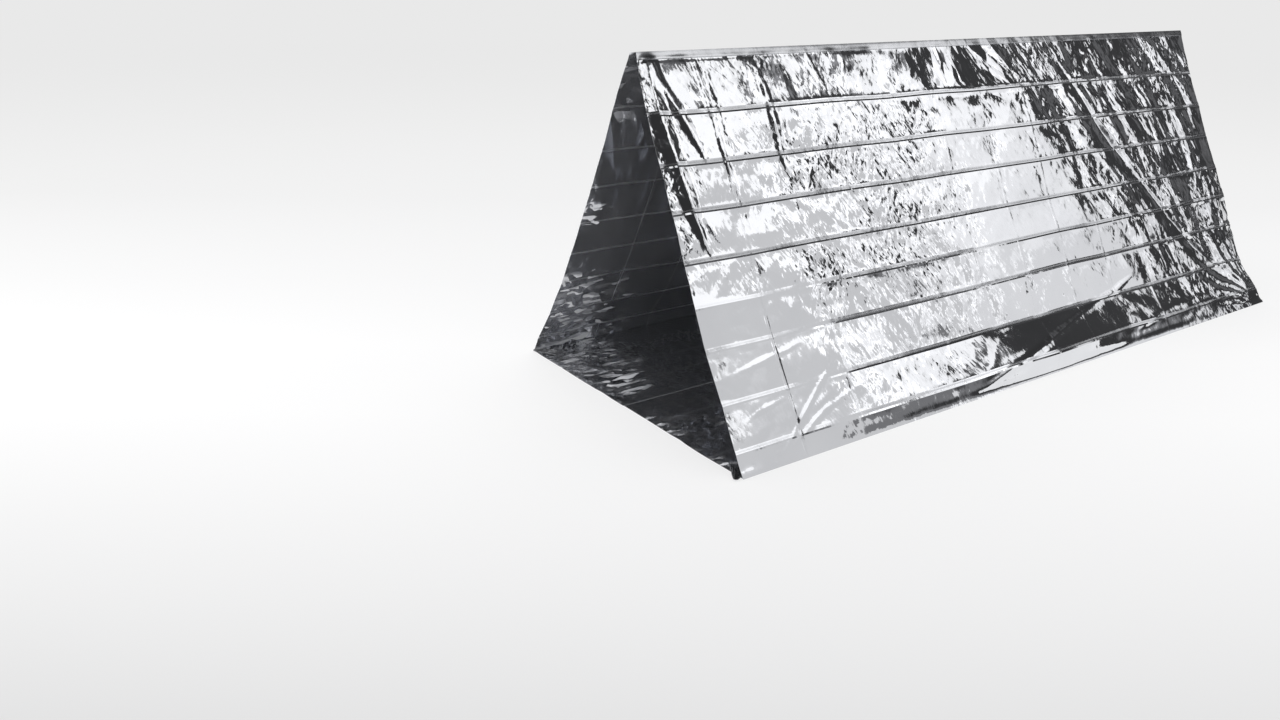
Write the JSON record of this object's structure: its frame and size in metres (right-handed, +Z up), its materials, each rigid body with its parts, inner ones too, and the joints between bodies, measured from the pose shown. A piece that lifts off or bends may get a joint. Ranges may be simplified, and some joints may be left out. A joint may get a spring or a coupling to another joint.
{
  "type": "emergency tube tent",
  "caption": "Triangular open-ended shelter of thin metallised film with a sealed ridge, slack feet and a creased floor, folding flat along its creases.",
  "frame": {"origin": "on the ground under the middle of the ridge, at the bottom centre of the box that holds the tent", "axes": "+X along the ridge towards the far end, -Y towards the front wall, +Z up"},
  "size_m": [2.4618, 0.9842, 0.905],
  "materials": {
    "wall_film": "mirror-bright metallised film, finely crinkled",
    "foot_film": "mirror-bright metallised film, slack with long folds",
    "floor_film": "metallised film, scuffed and creased",
    "seam_film": "smooth double layer of metallised film",
    "corner_film": "metallised film pinched into pleats"
  },
  "bodies": {
    "floor_front": {"floor_front_half": "floor_film", "near_front_corner": "corner_film", "far_front_corner": "corner_film"},
    "front_side": {"front_wall": "wall_film", "front_wall_foot": "foot_film", "ridge_seam": "seam_film"},
    "floor_rear": {"floor_rear_half": "floor_film", "near_rear_corner": "corner_film", "far_rear_corner": "corner_film"},
    "rear_side": {"rear_wall": "wall_film", "rear_wall_foot": "foot_film"}
  },
  "joints": [
    {"name": "front_side_fold", "type": "hinge", "parent": "floor_front", "child": "front_side", "pos_m": [0, -0.49, 0.00214], "axis": [1, 0, 0], "range_deg": [0, 110]},
    {"name": "floor_fold", "type": "hinge", "parent": "floor_front", "child": "floor_rear", "pos_m": [0, 0, 0.00135], "axis": [1, 0, 0], "range_deg": [0, 168.4]},
    {"name": "rear_side_fold", "type": "hinge", "parent": "floor_rear", "child": "rear_side", "pos_m": [0, 0.49, 0.00214], "axis": [1, 0, 0], "range_deg": [-110.1, 0]}
  ],
  "couplings": [
    {"joint": "floor_fold", "follows": "front_side_fold", "ratio": 1.53},
    {"joint": "rear_side_fold", "follows": "front_side_fold", "ratio": -1}
  ]
}
